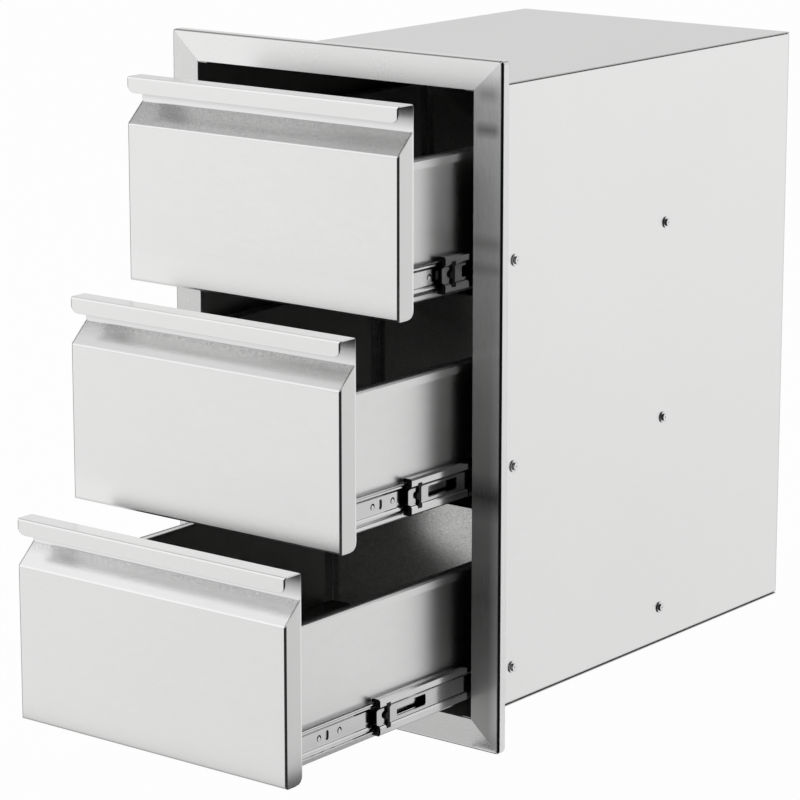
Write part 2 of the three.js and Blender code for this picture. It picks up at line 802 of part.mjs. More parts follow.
// The six members of one slide, with the drawer drawn out by this much. The sections run from the
// left wall to the right, so the right slide is the mirrored one.
function makeSlide(level, sideName, drawnOut) {
  const slide = new THREE.Group();
  const hand = sides[sideName];
  const outerStart = slideSetback;
  const middleStart = frontDepth + closedGap + webTongue;
  const innerStart = frontDepth + seam;
  const members = [
    ['outer_rail', outerRail(), zincSteel, outerStart, 0],
    ['outer_ball_cage', ballCage(
      outerCageReach, outerBallHeight, cageFlangeOuter, outerBall, outerWebReach + outerBallReach,
    ), cageSteel, outerCageStart, outerCageShare],
    ['middle_rail', middleRail(), zincSteel, middleStart, middleShare],
    ['front_guide', frontGuide(), blackPlastic, middleStart, middleShare],
    ['inner_ball_cage', ballCage(
      innerCageReach, innerBallHeight, cageFlangeInner, innerBall, innerBackReach - innerBallReach,
    ), cageSteel, innerCageStart, innerCageShare],
    ['inner_rail', innerRail(), zincSteel, innerStart, 1],
  ];
  for (const [name, geometry, finish, start, share] of members) {
    const mesh = namedMesh(`${level}_${sideName}_${name}`, handed(geometry, -hand), finish);
    mesh.position.set(hand * openingHalf, start - share * drawnOut, 0);
    slide.add(mesh);
  }
  return slide;
}

function makeDrawer(level, drawnOut) {
  const drawer = new THREE.Group();
  drawer.add(namedMesh(`${level}_drawer_front`, drawerFront(), brushedSteel));
  drawer.add(namedMesh(`${level}_drawer_inner_front`, innerFront(), boxSteel));
  drawer.add(namedMesh(`${level}_drawer_tray`, drawerTray(), boxSteel));
  drawer.add(namedMesh(`${level}_drawer_back`, drawerBack(), boxSteel));
  drawer.position.y = -drawnOut;
  return drawer;
}

const unit = new THREE.Group();
unit.add(makeFrame());
unit.add(makeShell());
levels.forEach((level, index) => {
  const drawer = makeDrawer(level, opened[level]);
  drawer.position.y += faceY;
  drawer.position.z = slideCentreOf(index) - slideRise;
  unit.add(drawer);
  for (const sideName of Object.keys(sides)) {
    const slide = makeSlide(level, sideName, opened[level]);
    slide.position.set(0, faceY, slideCentreOf(index));
    unit.add(slide);
  }
});

export default unit;
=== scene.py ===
import math

import bpy
from mathutils import Matrix, Vector


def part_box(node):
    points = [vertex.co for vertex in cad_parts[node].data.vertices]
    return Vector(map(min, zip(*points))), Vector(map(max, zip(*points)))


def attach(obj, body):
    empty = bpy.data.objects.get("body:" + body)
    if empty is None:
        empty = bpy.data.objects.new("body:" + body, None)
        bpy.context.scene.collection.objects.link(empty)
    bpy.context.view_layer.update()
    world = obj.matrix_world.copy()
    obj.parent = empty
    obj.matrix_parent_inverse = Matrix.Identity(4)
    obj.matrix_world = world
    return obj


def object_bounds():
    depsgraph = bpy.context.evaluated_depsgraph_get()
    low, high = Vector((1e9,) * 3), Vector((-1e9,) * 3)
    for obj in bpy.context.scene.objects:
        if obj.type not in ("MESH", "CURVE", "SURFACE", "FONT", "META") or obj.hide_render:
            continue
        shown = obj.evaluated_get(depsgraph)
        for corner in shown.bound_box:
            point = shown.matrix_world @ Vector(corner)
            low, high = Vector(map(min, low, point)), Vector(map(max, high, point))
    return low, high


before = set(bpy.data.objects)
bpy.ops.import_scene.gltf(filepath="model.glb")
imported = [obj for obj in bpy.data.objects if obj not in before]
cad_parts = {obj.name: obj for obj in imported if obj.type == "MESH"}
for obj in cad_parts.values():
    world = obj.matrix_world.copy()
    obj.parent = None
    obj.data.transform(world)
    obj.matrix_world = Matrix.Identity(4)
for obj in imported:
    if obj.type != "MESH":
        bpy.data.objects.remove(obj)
cadLow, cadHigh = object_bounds()
levels = ["lower", "centre", "upper"]
sides = {"left": -1, "right": 1}
print("frame loaded:", len(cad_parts), "nodes")

# camera at the photograph's angle
photoCamera = {
    "place": (2.0294, -2.5028, 1.0636),
    "azimuth": 38.013,
    "pitch": 12.505,
    "lens": 153.55,
    "sensor": 36,
    "shift": -0.05,
    "nearest": 0.05,
    "farthest": 60,
}


def makeCamera(c):
    data = bpy.data.cameras.new("photoCamera")
    data.sensor_width = c["sensor"]
    data.lens = c["lens"]
    data.shift_y = c["shift"]
    data.clip_start = c["nearest"]
    data.clip_end = c["farthest"]
    camera = bpy.data.objects.new("photoCamera", data)
    camera.location = c["place"]
    camera.rotation_euler = (math.radians(90 - c["pitch"]), 0, math.radians(c["azimuth"]))
    bpy.context.collection.objects.link(camera)
    bpy.context.scene.camera = camera


# studio: bright tent on the left, behind and on the right, dark room on the camera's side, pale floor
studio = {
    "white": 1.0,
    "azimuthStops": [  # degrees from the front, plus is the right-hand side; brightness
        (-180, 0.95), (-156, 0.95), (-128, 0.95), (-104, 0.60), (-92, 0.36), (-85, 0.38), (-80, 0.66),
        (-74, 1.15), (-60, 1.25), (-46, 1.28), (-34, 1.16), (-23, 0.85), (-16, 0.04), (14, 0.04),
        (24, 0.05), (50, 0.05), (62, 0.04), (112, 0.04), (126, 0.56), (136, 1.22), (143, 1.32),
        (152, 1.26), (166, 0.90), (180, 0.95),
    ],
    "elevationStops": [  # degrees above the horizon; share of the brightness
        (-90, 0.10), (-62, 0.45), (-50, 0.80), (-34, 0.86), (-18, 0.88), (-8, 1.0), (2, 1.0),
        (16, 1.0), (38, 1.04), (48, 1.0), (56, 0.46), (64, 0.24), (90, 0.06),
    ],
    "floorSize": 40,
    "floorLift": 0.0004,
    "floorTone": 0.86,
    "floorGlow": 0.98,
    "floorShades": {  # painted shade: patches glowing at a dim set tone under the unit, seen only in the lowest sheets' mirrors, standing for the shadowed floor
        "frontShade": {"size": (0.42, 0.34), "place": (-0.04, -0.184), "tone": 0.50},
        "sideShade": {"size": (0.085, 0.24), "place": (0.2045, -0.14), "tone": 0.10},
    },
    "softboxPower": 10,
    "softboxSize": 2.6,
    "softboxPlace": (-1.6, -1.2, 2.6),
    "softboxAim": (0, 0, 0.3),
}


def feed(tree, socket, value):
    # an output is linked to the socket, a constant is set on it
    if hasattr(value, "is_output"):
        tree.links.new(value, socket)
    else:
        socket.default_value = value


def rampFrom(tree, stops, low, high):
    ramp = tree.nodes.new("ShaderNodeValToRGB")
    elements = ramp.color_ramp.elements
    while len(elements) > 1:
        elements.remove(elements[-1])
    for number, (place, tone) in enumerate(stops):
        position = (place - low) / (high - low)
        stop = elements[0] if number == 0 else elements.new(position)
        stop.position = position
        stop.color = (tone, tone, tone, 1)
    return ramp


def mathNode(tree, operation, first, second=None, third=None, clamp=False):
    node = tree.nodes.new("ShaderNodeMath")
    node.operation = operation
    node.use_clamp = clamp
    for socket, value in zip(node.inputs, (first, second, third)):
        if value is not None:
            feed(tree, socket, value)
    return node.outputs[0]


def makeStudioWorld(s):
    world = bpy.data.worlds.new("studio")
    world.use_nodes = True
    tree = world.node_tree
    tree.nodes.clear()
    direction = tree.nodes.new("ShaderNodeTexCoord")
    parts = tree.nodes.new("ShaderNodeSeparateXYZ")
    tree.links.new(direction.outputs["Generated"], parts.inputs[0])
    forward = mathNode(tree, "MULTIPLY", parts.outputs["Y"], -1.0)
    azimuth = mathNode(tree, "ARCTAN2", parts.outputs["X"], forward)
    azimuthShare = mathNode(tree, "MULTIPLY_ADD", azimuth, 1 / (2 * math.pi), 0.5)
    elevation = mathNode(tree, "ARCSINE", parts.outputs["Z"])
    elevationShare = mathNode(tree, "MULTIPLY_ADD", elevation, 1 / math.pi, 0.5)
    around = rampFrom(tree, s["azimuthStops"], -180, 180)
    upDown = rampFrom(tree, s["elevationStops"], -90, 90)
    tree.links.new(azimuthShare, around.inputs[0])
    tree.links.new(elevationShare, upDown.inputs[0])
    brightness = mathNode(tree, "MULTIPLY", around.outputs[0], upDown.outputs[0])
    tent = tree.nodes.new("ShaderNodeBackground")
    tree.links.new(brightness, tent.inputs["Strength"])
    backdrop = tree.nodes.new("ShaderNodeBackground")  # what the camera sees past the floor
    backdrop.inputs["Strength"].default_value = s["white"]
    rays = tree.nodes.new("ShaderNodeLightPath")
    mix = tree.nodes.new("ShaderNodeMixShader")
    output = tree.nodes.new("ShaderNodeOutputWorld")
    tree.links.new(rays.outputs["Is Camera Ray"], mix.inputs[0])
    tree.links.new(tent.outputs[0], mix.inputs[1])
    tree.links.new(backdrop.outputs[0], mix.inputs[2])
    tree.links.new(mix.outputs[0], output.inputs[0])
    bpy.context.scene.world = world


def makeFloor(s):
    bpy.ops.object.select_all(action="DESELECT")
    bpy.ops.mesh.primitive_plane_add(size=s["floorSize"], location=(0, 0, cadLow.z - s["floorLift"]))
    floor = bpy.context.object
    floor.name = "studioFloor"
    material = bpy.data.materials.new("paleFloor")
    material.use_nodes = True
    shader = material.node_tree.nodes["Principled BSDF"]
    tone, glow = s["floorTone"] * (1 - s["floorGlow"]), s["floorGlow"]
    shader.inputs["Base Color"].default_value = (tone, tone, tone, 1)
    shader.inputs["Roughness"].default_value = 0.9
    shader.inputs["Specular IOR Level"].default_value = 0.0
    shader.inputs["Emission Color"].default_value = (1, 1, 1, 1)
    shader.inputs["Emission Strength"].default_value = glow
    floor.data.materials.append(material)
    floor.visible_glossy = False  # the steel mirrors the tent and the shades below, not the floor


# painted shade: a plane that glows at its tone and is seen only by mirrors
def makeFloorShade(name, s, lift):
    bpy.ops.object.select_all(action="DESELECT")
    bpy.ops.mesh.primitive_plane_add(size=1, location=(*s["place"], cadLow.z - lift / 2))
    shade = bpy.context.object
    shade.name = name
    shade.scale = (*s["size"], 1)
    material = bpy.data.materials.new(name)
    material.use_nodes = True
    tree = material.node_tree
    tree.nodes.remove(tree.nodes["Principled BSDF"])
    glow = tree.nodes.new("ShaderNodeEmission")
    glow.inputs["Strength"].default_value = s["tone"]
    tree.links.new(glow.outputs[0], tree.nodes["Material Output"].inputs[0])
    shade.data.materials.append(material)
    shade.visible_camera = shade.visible_diffuse = shade.visible_shadow = False


def makeSoftbox(s):
    light = bpy.data.lights.new("softbox", "AREA")
    light.energy = s["softboxPower"]
    light.size = s["softboxSize"]
    box = bpy.data.objects.new("softbox", light)
    box.location = s["softboxPlace"]
    aim = Vector(s["softboxAim"]) - box.location
    box.rotation_euler = aim.to_track_quat("-Z", "Y").to_euler()
    box.visible_camera = False
    box.visible_glossy = False
    bpy.context.collection.objects.link(box)


makeCamera(photoCamera)
makeStudioWorld(studio)
makeFloor(studio)
for name, shade in studio["floorShades"].items():
    makeFloorShade(name, shade, studio["floorLift"])
makeSoftbox(studio)
bpy.context.scene.view_settings.view_transform = "Standard"
print("studio ready")

# shared shader groups
far = 9.0  # past every edge of the unit, for a side where no edge line is wanted
slabMargin = 0.0002  # a slab takes in the faces that lie on its limits
gritNoise = {"scale": 560, "detail": 1.0, "roughness": 0.6}
# the small parts keep the grain's tangent alive on faces that the grain runs into
axes = {"x": (1, 0.05, 0.05), "y": (0.05, 1, 0.05), "z": (0.05, 0.05, 1)}


def newGroup(name, inputs, outputs):
    group = bpy.data.node_groups.new(name, "ShaderNodeTree")
    for label, kind, value in inputs:
        socket = group.interface.new_socket(label, in_out="INPUT", socket_type=kind)
        if value is not None:
            socket.default_value = value
    for label, kind in outputs:
        group.interface.new_socket(label, in_out="OUTPUT", socket_type=kind)
    return group, group.nodes.new("NodeGroupInput"), group.nodes.new("NodeGroupOutput")


def noiseNode(tree, vector, scale, detail, roughness, distortion=0.0):
    noise = tree.nodes.new("ShaderNodeTexNoise")
    feed(tree, noise.inputs["Scale"], scale)
    noise.inputs["Detail"].default_value = detail
    noise.inputs["Roughness"].default_value = roughness
    noise.inputs["Distortion"].default_value = distortion
    tree.links.new(vector, noise.inputs["Vector"])
    return noise.outputs["Fac"]


def vectorNode(tree, operation, first, second=None):
    node = tree.nodes.new("ShaderNodeVectorMath")
    node.operation = operation
    tree.links.new(first, node.inputs[0])
    if second is not None:
        feed(tree, node.inputs[1], second)
    return node.outputs["Value" if operation == "LENGTH" else "Vector"]


def largestPart(tree, vector):
    parts = tree.nodes.new("ShaderNodeSeparateXYZ")
    tree.links.new(vector, parts.inputs[0])
    largest = mathNode(tree, "MAXIMUM", parts.outputs["X"], parts.outputs["Y"])
    return mathNode(tree, "MAXIMUM", largest, parts.outputs["Z"])


def makeBrushGroup():
    # long scratches that run along the stretched axis, with a coarser sweep over them
    group, inlet, outlet = newGroup(
        "brushLines",
        [("Place", "NodeSocketVector", None), ("Stretch", "NodeSocketVector", (1, 1, 1)),
         ("Coarse", "NodeSocketFloat", 0.35)],
        [("Lines", "NodeSocketFloat")],
    )
    squeezed = vectorNode(group, "MULTIPLY", inlet.outputs["Place"], inlet.outputs["Stretch"])
    fine = noiseNode(group, squeezed, 1.0, 3.0, 0.62)
    broad = noiseNode(group, squeezed, 0.16, 2.0, 0.5)
    mixed = group.nodes.new("ShaderNodeMix")
    group.links.new(inlet.outputs["Coarse"], mixed.inputs["Factor"])
    group.links.new(fine, mixed.inputs["A"])
    group.links.new(broad, mixed.inputs["B"])
    group.links.new(mixed.outputs["Result"], outlet.inputs["Lines"])
    return group


def makeHandlingGroup():
    # faint cloudy marks left by wiping and handling
    group, inlet, outlet = newGroup(
        "handlingMarks",
        [("Place", "NodeSocketVector", None), ("Size", "NodeSocketFloat", 9.0)],
        [("Clouds", "NodeSocketFloat")],
    )
    clouds = noiseNode(group, inlet.outputs["Place"], inlet.outputs["Size"], 4.0, 0.55, 0.4)
    group.links.new(clouds, outlet.inputs["Clouds"])
    return group


def makeEdgeGroup():
    # a narrow band along the sides of a box with rounded edges, kept to a slab round its middle
    group, inlet, outlet = newGroup(
        "sheetEdge",
        [("Place", "NodeSocketVector", None), ("Middle", "NodeSocketVector", (0, 0, 0)),
         ("Half", "NodeSocketVector", (1, 1, 1)), ("Slab", "NodeSocketVector", (far, far, far)),
         ("Corner", "NodeSocketFloat", 0.0), ("Width", "NodeSocketFloat", 0.001)],
        [("Edge", "NodeSocketFloat")],
    )
    given = inlet.outputs
    size = vectorNode(group, "ABSOLUTE", vectorNode(group, "SUBTRACT", given["Place"], given["Middle"]))
    beyond = vectorNode(group, "SUBTRACT", size, given["Half"])
    corner = group.nodes.new("ShaderNodeCombineXYZ")
    for socket in corner.inputs:
        group.links.new(given["Corner"], socket)
    reach = vectorNode(group, "ADD", beyond, corner.outputs[0])
    outside = vectorNode(group, "LENGTH", vectorNode(group, "MAXIMUM", reach, (0, 0, 0)))
    inside = mathNode(group, "MINIMUM", largestPart(group, reach), 0.0)
    distance = mathNode(group, "SUBTRACT", mathNode(group, "ADD", inside, outside), given["Corner"])
    share = mathNode(group, "DIVIDE", mathNode(group, "ABSOLUTE", distance), given["Width"])
    edge = mathNode(group, "SUBTRACT", 1.0, share, clamp=True)
    pastSlab = vectorNode(group, "SUBTRACT", size, given["Slab"])
    inSlab = mathNode(group, "LESS_THAN", largestPart(group, pastSlab), 0.0)
    group.links.new(mathNode(group, "MULTIPLY", edge, inSlab), outlet.inputs["Edge"])
    return group


brushGroup = makeBrushGroup()
handlingGroup = makeHandlingGroup()
edgeGroup = makeEdgeGroup()


def groupNode(tree, group, **values):
    node = tree.nodes.new("ShaderNodeGroup")
    node.node_tree = group
    for label, value in values.items():
        feed(tree, node.inputs[label], value)
    return node.outputs[0]


def mixColours(tree, share, first, second):
    mix = tree.nodes.new("ShaderNodeMix")
    mix.data_type = "RGBA"
    tree.links.new(share, mix.inputs["Factor"])
    for socket, value in ((mix.inputs[6], first), (mix.inputs[7], second)):
        feed(tree, socket, (*value, 1) if isinstance(value, (tuple, list)) else value)
    return mix.outputs[2]


def spread(tree, noise, low, high):
    # noise seldom leaves the middle half of its range
    node = tree.nodes.new("ShaderNodeMapRange")
    node.inputs["From Min"].default_value = 0.25
    node.inputs["From Max"].default_value = 0.75
    node.inputs["To Min"].default_value = low
    node.inputs["To Max"].default_value = high
    tree.links.new(noise, node.inputs["Value"])
    return node.outputs[0]


def breakUp(tree, share, texture, amount):
    grain = spread(tree, texture, 1 - amount, 1 + amount)
    return mathNode(tree, "MULTIPLY", share, grain, clamp=True)


def bumpNode(tree, height, strength, distance, normal=None):
    bump = tree.nodes.new("ShaderNodeBump")
    bump.inputs["Strength"].default_value = strength
    bump.inputs["Distance"].default_value = distance
    tree.links.new(height, bump.inputs["Height"])
    if normal is not None:
        tree.links.new(normal, bump.inputs["Normal"])
    return bump.outputs[0]


def edgeBand(tree, place, tint):
    middle = [(a + b) / 2 for a, b in zip(tint["low"], tint["high"])]
    half = [(b - a) / 2 for a, b in zip(tint["low"], tint["high"])]
    slab = [far, far, far]
    slab[tint["faces"]] = half[tint["faces"]] + slabMargin
    half[tint["faces"]] = far
    return groupNode(
        tree, edgeGroup, Place=place, Middle=middle, Half=half, Slab=slab,
        Corner=tint.get("corner", 0.0), Width=tint["width"],
    )


def steelMaterial(name, m):
    material = bpy.data.materials.new(name)
    material.use_nodes = True
    tree = material.node_tree
    place = tree.nodes.new("ShaderNodeTexCoord").outputs["Object"]
    along = axes[m["grain"]]
    stretch = tuple(m["grainAlong"] if part == 1 else m["grainAcross"] for part in along)
    lines = groupNode(tree, brushGroup, Place=place, Stretch=stretch, Coarse=m["coarse"])
    clouds = groupNode(tree, handlingGroup, Place=place, Size=m["cloudSize"])
    base = mixColours(tree, spread(tree, lines, 0, 1), m["dark"], m["light"])
    base = mixColours(tree, spread(tree, clouds, 0, m["cloudTint"]), base, m["dark"])
    metal = m.get("metallic", 1.0)
    for tint in m.get("tints", []):
        share = mathNode(tree, "MULTIPLY", edgeBand(tree, place, tint), tint["strength"], clamp=True)
        if "streaks" in tint:
            share = breakUp(tree, share, lines, tint["streaks"])
        if "grit" in tint:
            share = breakUp(tree, share, noiseNode(tree, place, **gritNoise), tint["grit"])
        base = mixColours(tree, share, base, tint["tone"])
        if "dull" in tint:  # a share of plain scattering in place of the mirror
            metal = mathNode(tree, "SUBTRACT", metal, mathNode(tree, "MULTIPLY", share, tint["dull"]))
    rough = mathNode(
        tree, "ADD",
        spread(tree, lines, m["roughness"] - m["roughLines"], m["roughness"] + m["roughLines"]),
        spread(tree, clouds, -m["roughClouds"], m["roughClouds"]),
    )
    surface = tree.nodes.new("ShaderNodeNewGeometry").outputs["True Normal"]  # folded sheet keeps flat faces
    tangent = vectorNode(tree, "CROSS_PRODUCT", surface, along)
    if "lean" in m:
        surface = vectorNode(tree, "NORMALIZE", vectorNode(tree, "ADD", surface, m["lean"]))
    if "swell" in m:  # the sheet swells a little towards its lower fold
        reach = edgeBand(tree, place, m["swell"])
        rise = mathNode(tree, "MULTIPLY", reach, reach)
        surface = bumpNode(tree, rise, 1.0, m["swell"]["rise"], surface)
    surface = bumpNode(tree, lines, m["bump"], m["bumpDepth"], surface)
    look = {
        "Base Color": base, "Metallic": metal, "Roughness": rough, "Anisotropic": m["anisotropy"],
        "Tangent": tangent, "Normal": surface,
    }
    for label, value in look.items():
        feed(tree, tree.nodes["Principled BSDF"].inputs[label], value)
    return material


def plasticMaterial(name, p):
    material = bpy.data.materials.new(name)
    material.use_nodes = True
    tree = material.node_tree
    place = tree.nodes.new("ShaderNodeTexCoord").outputs["Object"]
    grit = noiseNode(tree, place, p["gritScale"], 3.0, 0.6)
    clouds = groupNode(tree, handlingGroup, Place=place, Size=p["cloudSize"])
    look = {
        "Base Color": mixColours(tree, spread(tree, clouds, 0, 1), p["dark"], p["light"]),
        "Roughness": spread(tree, grit, *p["roughness"]), "Specular IOR Level": p["specular"],
        "Normal": bumpNode(tree, grit, p["bump"], p["bumpDepth"]),
    }
    for label, value in look.items():
        feed(tree, tree.nodes["Principled BSDF"].inputs[label], value)
    return material


brushedSteel = {
    "grain": "x", "grainAlong": 420, "grainAcross": 1400, "coarse": 0.25,
    "dark": (0.80, 0.80, 0.795), "light": (0.86, 0.86, 0.855),
    "cloudSize": 5, "cloudTint": 0.08,
    "roughness": 0.21, "roughLines": 0.02, "roughClouds": 0.015,
    "anisotropy": 0.3, "bump": 0.11, "bumpDepth": 0.00002,
}
frameSteel = {
    **brushedSteel,
    "dark": (0.79, 0.79, 0.785), "light": (0.86, 0.86, 0.855), "roughness": 0.27, "anisotropy": 0.6,
    "bump": 0.07,
}
# painted light: the top rail's copy of the frame steel is toned lighter
topRailSteel = {
    **frameSteel,
    "dark": (0.84, 0.84, 0.835), "light": (0.88, 0.88, 0.875), "roughLines": 0.003, "bump": 0.008,
    "lean": (0, 0, 0.06),
}
# painted light: the bottom rail's copy of the frame steel is toned lighter still
bottomRailSteel = {
    **frameSteel,
    "dark": (0.90, 0.90, 0.895), "light": (0.97, 0.97, 0.965), "bump": 0.03,
}
leftStileSteel = {**frameSteel, "grain": "z", "metallic": 0.8, "roughLines": 0.005, "bump": 0.02}
# painted shade: the right stile's copy of the frame steel is toned darker
rightStileSteel = {
    **frameSteel,
    "grain": "z", "grainAlong": 70, "dark": (0.55, 0.55, 0.545), "light": (0.88, 0.88, 0.875),
    "metallic": 0.42, "roughness": 0.30, "cloudSize": 22, "cloudTint": 0.5,
}
shellSteel = {
    "grain": "y", "grainAlong": 200, "grainAcross": 700, "coarse": 0.5,
    "dark": (0.83, 0.83, 0.825), "light": (0.85, 0.85, 0.845),
    "cloudSize": 3, "cloudTint": 0.05,
    "roughness": 0.28, "roughLines": 0.006, "roughClouds": 0.008,
    "anisotropy": 0.2, "bump": 0.0015, "bumpDepth": 0.00002,
}
coverSteel = {**shellSteel, "grain": "x", "grainAlong": 60, "roughLines": 0.002, "bump": 0.0005}
boxSteel = {
    **shellSteel,
    "dark": (0.82, 0.82, 0.815), "light": (0.87, 0.87, 0.865), "roughness": 0.34, "bump": 0.02,
}
boxBackSteel = {  # a duller sheet with a grainy skin that leans back a little
    **boxSteel,
    "dark": (0.34, 0.34, 0.335), "light": (0.72, 0.72, 0.71),
    "grain": "x", "grainAlong": 380, "grainAcross": 620, "coarse": 0.1, "roughness": 0.2,
    "anisotropy": 0.0, "bump": 0.6, "bumpDepth": 0.00012, "lean": (0, 0, 0.30),
}
zincSteel = {
    "grain": "y", "grainAlong": 60, "grainAcross": 1600, "coarse": 0.4,
    "dark": (0.56, 0.56, 0.56), "light": (0.68, 0.68, 0.68),
    "cloudSize": 40, "cloudTint": 0.15,
    "roughness": 0.15, "roughLines": 0.03, "roughClouds": 0.03,
    "anisotropy": 0.2, "bump": 0.08, "bumpDepth": 0.00002,
}
cageSteel = {
    **zincSteel,
    "dark": (0.42, 0.42, 0.41), "light": (0.66, 0.66, 0.65), "roughness": 0.3,
}
guidePlastic = {
    "dark": (0.004, 0.004, 0.004), "light": (0.012, 0.012, 0.012), "roughness": (0.44, 0.58),
    "specular": 0.25, "gritScale": 2600, "cloudSize": 120, "bump": 0.25, "bumpDepth": 0.00005,
}

# where a tint lies on its piece, and how strong it is
everywhere = {"width": 100.0, "strength": 1.1}  # for the whole of a slab
endless = (-far, far)
skin = (-0.0003, 0.0003)  # just round the plane of a sheet's face
sheet = 0.001
bright = (1, 1, 1)


def span(place, reach):
    return place + reach[0], place + reach[1]


def mask(faces, look, x=endless, y=endless, z=endless):
    # the line round a box, on the sheets that face along one axis and lie inside the box there
    low, high = zip(x, y, z)
    return {"low": low, "high": high, "faces": "xyz".index(faces), **look}


def wholeOf(faces, between, look):
    # all of the sheets that face along an axis between two places on it
    return mask(faces, {**everywhere, **look}, **{faces: between})


def outlineOf(node, faces, line):
    return mask(faces, {"tone": (0.13, 0.13, 0.125), **line}, *zip(*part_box(node)))


def innerShadeOf(faces, place):
    # the inner face of a cabinet sheet: painted shade, a darker tone, on the duller unpolished inner side,
    # which scatters part of the light
    return wholeOf(faces, span(place, skin), {"tone": (0.42, 0.42, 0.415), "dull": 0.3})


def dress(material, *nodes):
    for node in nodes:
        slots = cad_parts[node].data.materials
        slots.clear()
        slots.append(material)


# face frame
frameFace = {
    "half": 0.201, "low": cadLow.z, "high": cadHigh.z, "stile": 0.0325, "rail": 0.0295, "face": -0.012,
}
faceSkin = (frameFace["face"], frameFace["face"] + sheet)
foldSkin = (-0.0122, -0.0106)  # the face and the start of its folds
returnSkin = (0.2003, 0.2013)  # the sheet turned back at the right
bendReflection = mask(  # painted reflection: the outer fold of the face painted near black, where it mirrors the dark side of the room
    "y", {"corner": 0.004, "width": 0.0022, "strength": 3.0, "tone": (0.006, 0.006, 0.006)},
    (-frameFace["half"], frameFace["half"]), (frameFace["face"], -0.0098),
    (frameFace["low"], frameFace["high"]),
)
topLine = mask(  # the shade line along the upper fold
    "y", {"width": 0.0011, "strength": 1.0, "tone": (0.10, 0.10, 0.098)},
    y=foldSkin, z=(-far, frameFace["high"] - 0.0010),
)
topReturn = wholeOf("z", span(frameFace["high"], skin), {"tone": (0.95, 0.95, 0.945)})
# painted light: the sheet turned back at the right is toned white, lighter than the rest of the frame
rightReturn = wholeOf("x", returnSkin, {"tone": bright})
rearLine = mask(  # where the return ends against the wall
    "x", {"width": 0.0015, "strength": 0.8, "tone": (0.42, 0.42, 0.415)}, x=returnSkin, y=(-far, 0.0),
)
leftShade = mask(
    "y", {"width": 0.06, "strength": 0.35, "tone": (0.45, 0.45, 0.445)}, y=foldSkin, z=(0.37, 0.41),
)
upperGlow = mask(
    "y", {"width": 0.29, "strength": 1.1, "streaks": 0.4, "tone": bright},
    y=faceSkin, z=(-far, frameFace["high"]),
)
bendGlow = mask("y", {"width": 0.009, "strength": 0.35, "tone": bright}, (-far, 0.1975), faceSkin)
lowerShade = mask(
    "y", {"width": 0.30, "strength": 0.82, "streaks": 0.2, "tone": (0.10, 0.10, 0.098)},
    y=faceSkin, z=(0.145, far),
)
# painted reflections of the drawers, drawn as soft darker patches
reflectionPatch = {"tone": (0.24, 0.24, 0.235), "streaks": 0.3}
darkReflectionPatch = {**reflectionPatch, "tone": (0.08, 0.08, 0.078)}
stileReflections = [  # painted reflections: darker patches on the right stile, where the drawers beside it are mirrored
    mask("y", {**reflectionPatch, "width": 0.010, "strength": 0.42}, (0.180, 0.189), faceSkin, (0.6250, 0.6252)),
    mask("y", {**reflectionPatch, "width": 0.009, "strength": 0.75}, (0.176, 0.191), faceSkin, (0.5920, 0.5922)),
    mask("y", {**reflectionPatch, "width": 0.010, "strength": 0.4}, (0.172, 0.195), faceSkin, (0.4860, 0.4862)),
    mask("y", {**reflectionPatch, "width": 0.008, "strength": 0.4}, (0.172, 0.195), faceSkin, (0.4620, 0.4622)),
    mask("y", {**darkReflectionPatch, "width": 0.024, "strength": 0.9}, (0.172, 0.195), faceSkin, (0.2440, 0.2442)),
]
frameMembers = {
    "top_rail": ("topRailSteel", topRailSteel, [topReturn, topLine]),
    "bottom_rail": ("bottomRailSteel", bottomRailSteel, [{**bendReflection, "width": 0.0018}]),
    "left_stile": ("leftStileSteel", leftStileSteel, [leftShade]),
    "right_stile": ("rightStileSteel", rightStileSteel, [
        upperGlow, lowerShade, bendGlow, *stileReflections, rightReturn, rearLine, bendReflection,
    ]),
}
for member, (name, steel, tints) in frameMembers.items():
    dress(steelMaterial(name, {**steel, "tints": tints}), "frame_" + member)

# drawers: the places are measured from the front's face and from its upper edge
front = {
    "lip": 0.0155,
    "lipLine": {"corner": 0.009, "width": 0.0009, "strength": 0.15, "tone": (0.16, 0.16, 0.155)},
    "footShade": {"width": 0.004, "strength": 0.2, "tone": (0.16, 0.16, 0.155)},
    "footSwell": {"width": 0.034, "rise": 0.0020},
    "foldSkin": (-0.0002, 0.0012),
    "foldShade": {"width": 0.0016, "strength": 0.17, "tone": (0.5, 0.5, 0.495)},
    "inclineTop": 0.0266, "inclineFoot": 0.0464,
    "inclineGlow": {"lower": 0.9, "centre": 0.75, "upper": 0.8},
    "inclineSkin": (0.0014, 0.0211),
    "inclineShade": {"tone": (0.20, 0.20, 0.195), "grit": 0.7},
    "inclineDepth": {"lower": 0.24, "centre": 0.32, "upper": 0.26},
    "inclineReach": {"lower": 0.009, "centre": 0.013, "upper": 0.05},
    "gripSkin": (-0.0012, -0.0002), "lipBackSkin": (0.0009, 0.0012),
    "flangeSkin": (-0.0004, 0.0004), "flange": {"tone": (0.66, 0.66, 0.655)},
    "riser": 0.0217, "riserSkin": (-0.0008, 0.0008),
    "riserTone": {"lower": 0.84, "centre": 0.80, "upper": 0.84},
    "riserShade": {"width": 0.024, "strength": 1.1, "tone": (0.08, 0.08, 0.078)},
}
upright = {  # how far from the middle of the unit its upright sheets and their screws stand
    "boxInside": 0.1547, "boxOutside": 0.1559, "boxScrew": 0.1562,
    "innerWeb": 0.1573, "middleWeb": 0.1640, "cabinetInside": 0.1685, "slideScrew": 0.16955,
}
